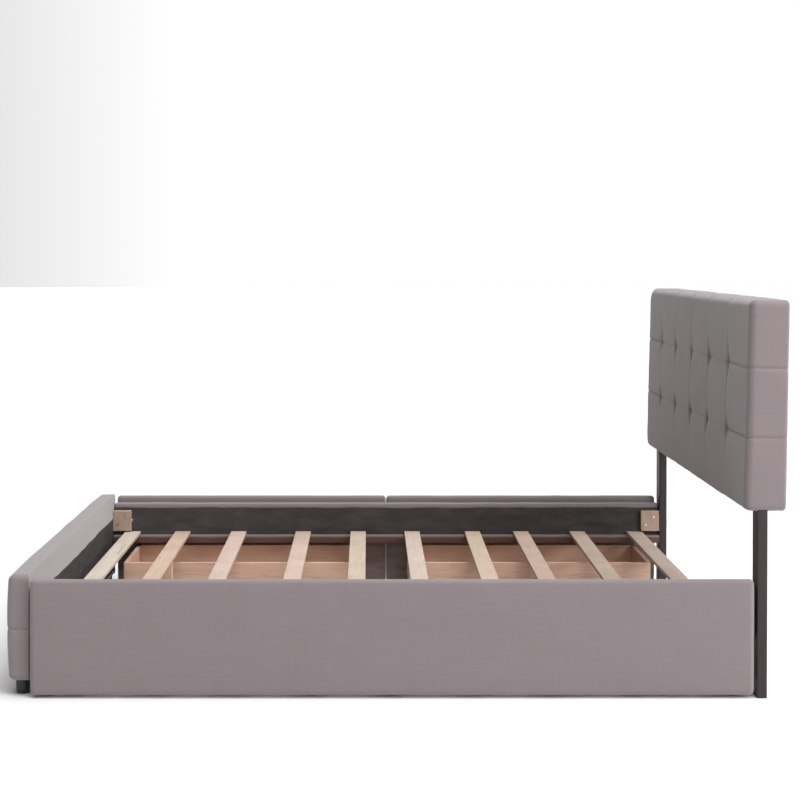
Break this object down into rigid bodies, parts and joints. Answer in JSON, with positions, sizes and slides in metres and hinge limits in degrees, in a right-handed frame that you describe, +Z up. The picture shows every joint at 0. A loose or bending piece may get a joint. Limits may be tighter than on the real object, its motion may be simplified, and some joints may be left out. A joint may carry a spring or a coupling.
{
  "type": "platform bed with storage drawers",
  "caption": "Low upholstered platform bed with a tufted headboard, a slatted base, pull-out drawers along one side and a full-length roll-out trundle along the other.",
  "frame": {"origin": "centre of the bed's box, on the floor", "axes": "+X along the bed from foot to head, +Y across it towards the drawers, +Z up"},
  "size_m": [2.229, 1.656, 1.1374],
  "materials": {
    "upholstery": "plain-weave grey upholstery, matt",
    "lining": "black non-woven lining",
    "panel_board": "raw plywood and softwood, hidden",
    "leg_finish": "dark stained, satin",
    "foot_plastic": "black, matt",
    "slat_wood": "planed pine, unfinished",
    "ledge_wood": "reddish brown stained",
    "drawer_wood": "thin board with a pale orange wood face",
    "zinc": "zinc plated",
    "wheel_plastic": "dark moulded plastic"
  },
  "bodies": {
    "bed_frame": {"headboard_cover": "upholstery", "headboard_panel": "panel_board", "headboard_frame": "panel_board", "headboard_back_cover": "lining", "headboard_leg_near": "leg_finish", "headboard_leg_far": "leg_finish", "footboard_cover": "upholstery", "footboard_frame": "panel_board", "footboard_lining": "lining", "feet": "foot_plastic", "rail_board_near": "panel_board", "rail_board_far": "panel_board", "rail_covers": "upholstery", "rail_linings": "lining", "slat_cleats": "ledge_wood", "corner_blocks": "slat_wood", "frame_bolts": "zinc", "frame_screws": "zinc", "support_posts": "slat_wood", "slat_01": "slat_wood", "slat_02": "slat_wood", "slat_03": "slat_wood", "slat_04": "slat_wood", "slat_05": "slat_wood", "slat_06": "slat_wood", "slat_07": "slat_wood", "slat_08": "slat_wood", "slat_09": "slat_wood", "slat_10": "slat_wood"},
    "drawer_left": {"drawer_left_front_board": "panel_board", "drawer_left_front_cover": "upholstery", "drawer_left_front_lining": "lining", "drawer_left_box_front": "drawer_wood", "drawer_left_box_back": "drawer_wood", "drawer_left_box_sides": "drawer_wood", "drawer_left_box_bottom": "drawer_wood", "drawer_left_caster_housings": "zinc"},
    "drawer_right": {"drawer_right_front_board": "panel_board", "drawer_right_front_cover": "upholstery", "drawer_right_front_lining": "lining", "drawer_right_box_front": "drawer_wood", "drawer_right_box_back": "drawer_wood", "drawer_right_box_sides": "drawer_wood", "drawer_right_box_bottom": "drawer_wood", "drawer_right_caster_housings": "zinc"},
    "trundle": {"trundle_front_board": "panel_board", "trundle_front_cover": "upholstery", "trundle_front_lining": "lining", "trundle_frame_back": "drawer_wood", "trundle_frame_ends": "drawer_wood", "trundle_bearers": "ledge_wood", "trundle_slats": "slat_wood", "trundle_caster_housings": "zinc"},
    "drawer_left_wheels_inner": {"drawer_left_wheels_inner": "wheel_plastic"},
    "drawer_left_wheels_outer": {"drawer_left_wheels_outer": "wheel_plastic"},
    "drawer_right_wheels_inner": {"drawer_right_wheels_inner": "wheel_plastic"},
    "drawer_right_wheels_outer": {"drawer_right_wheels_outer": "wheel_plastic"},
    "trundle_wheels_inner": {"trundle_wheels_inner": "wheel_plastic"},
    "trundle_wheels_outer": {"trundle_wheels_outer": "wheel_plastic"}
  },
  "joints": [
    {"name": "drawer_left_slide", "type": "slide", "parent": "bed_frame", "child": "drawer_left", "axis": [0, 1, 0], "range_m": [0, 0.35]},
    {"name": "drawer_right_slide", "type": "slide", "parent": "bed_frame", "child": "drawer_right", "axis": [0, 1, 0], "range_m": [0, 0.35]},
    {"name": "trundle_slide", "type": "slide", "parent": "bed_frame", "child": "trundle", "axis": [0, -1, 0], "range_m": [0, 1]},
    {"name": "drawer_left_inner_wheels_roll", "type": "hinge", "parent": "drawer_left", "child": "drawer_left_wheels_inner", "pos_m": [-0.5335, 0.47, 0.018], "axis": [-1, 0, 0], "range_deg": [0, 1119]},
    {"name": "drawer_left_outer_wheels_roll", "type": "hinge", "parent": "drawer_left", "child": "drawer_left_wheels_outer", "pos_m": [-0.5335, 0.762, 0.018], "axis": [-1, 0, 0], "range_deg": [0, 1119]},
    {"name": "drawer_right_inner_wheels_roll", "type": "hinge", "parent": "drawer_right", "child": "drawer_right_wheels_inner", "pos_m": [0.5005, 0.47, 0.018], "axis": [-1, 0, 0], "range_deg": [0, 1119]},
    {"name": "drawer_right_outer_wheels_roll", "type": "hinge", "parent": "drawer_right", "child": "drawer_right_wheels_outer", "pos_m": [0.5005, 0.762, 0.018], "axis": [-1, 0, 0], "range_deg": [0, 1119]},
    {"name": "trundle_inner_wheels_roll", "type": "hinge", "parent": "trundle", "child": "trundle_wheels_inner", "pos_m": [-0.0165, 0.163, 0.018], "axis": [1, 0, 0], "range_deg": [0, 3188]},
    {"name": "trundle_outer_wheels_roll", "type": "hinge", "parent": "trundle", "child": "trundle_wheels_outer", "pos_m": [-0.0165, -0.762, 0.018], "axis": [1, 0, 0], "range_deg": [0, 3188]}
  ],
  "couplings": [
    {"joint": "drawer_left_inner_wheels_roll", "follows": "drawer_left_slide", "rad_per_m": 55.556},
    {"joint": "drawer_left_outer_wheels_roll", "follows": "drawer_left_slide", "rad_per_m": 55.556},
    {"joint": "drawer_right_inner_wheels_roll", "follows": "drawer_right_slide", "rad_per_m": 55.556},
    {"joint": "drawer_right_outer_wheels_roll", "follows": "drawer_right_slide", "rad_per_m": 55.556},
    {"joint": "trundle_inner_wheels_roll", "follows": "trundle_slide", "rad_per_m": 55.556},
    {"joint": "trundle_outer_wheels_roll", "follows": "trundle_slide", "rad_per_m": 55.556}
  ]
}
